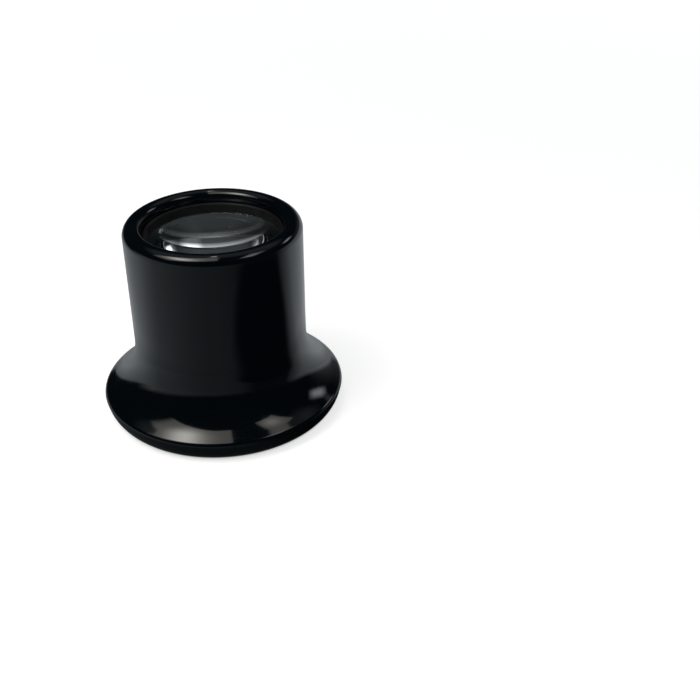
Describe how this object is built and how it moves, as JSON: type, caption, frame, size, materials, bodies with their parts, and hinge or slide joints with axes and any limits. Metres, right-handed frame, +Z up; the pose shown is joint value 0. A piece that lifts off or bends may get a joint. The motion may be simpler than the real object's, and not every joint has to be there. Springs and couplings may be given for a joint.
{
  "type": "eye loupe",
  "caption": "Black moulded eye loupe: a straight barrel on a flared eye cup, holding a thick biconvex lens behind a press-in ring.",
  "frame": {"origin": "centre of the eye cup's rim, on the surface that the loupe stands on", "axes": "+Z up the optical axis, from the eye to the lens end; X and Y are alike, because every piece is round about Z"},
  "size_m": [0.036, 0.036, 0.0291],
  "materials": {
    "housing_plastic": "polished black outside, satin black inside and under the parting line",
    "lens_glass": "clear polished faces, ground edge",
    "ring_plastic": "satin black"
  },
  "bodies": {
    "root": {"eyecup_housing": "housing_plastic", "magnifier_lens": "lens_glass", "lens_retaining_ring": "ring_plastic"}
  },
  "joints": []
}
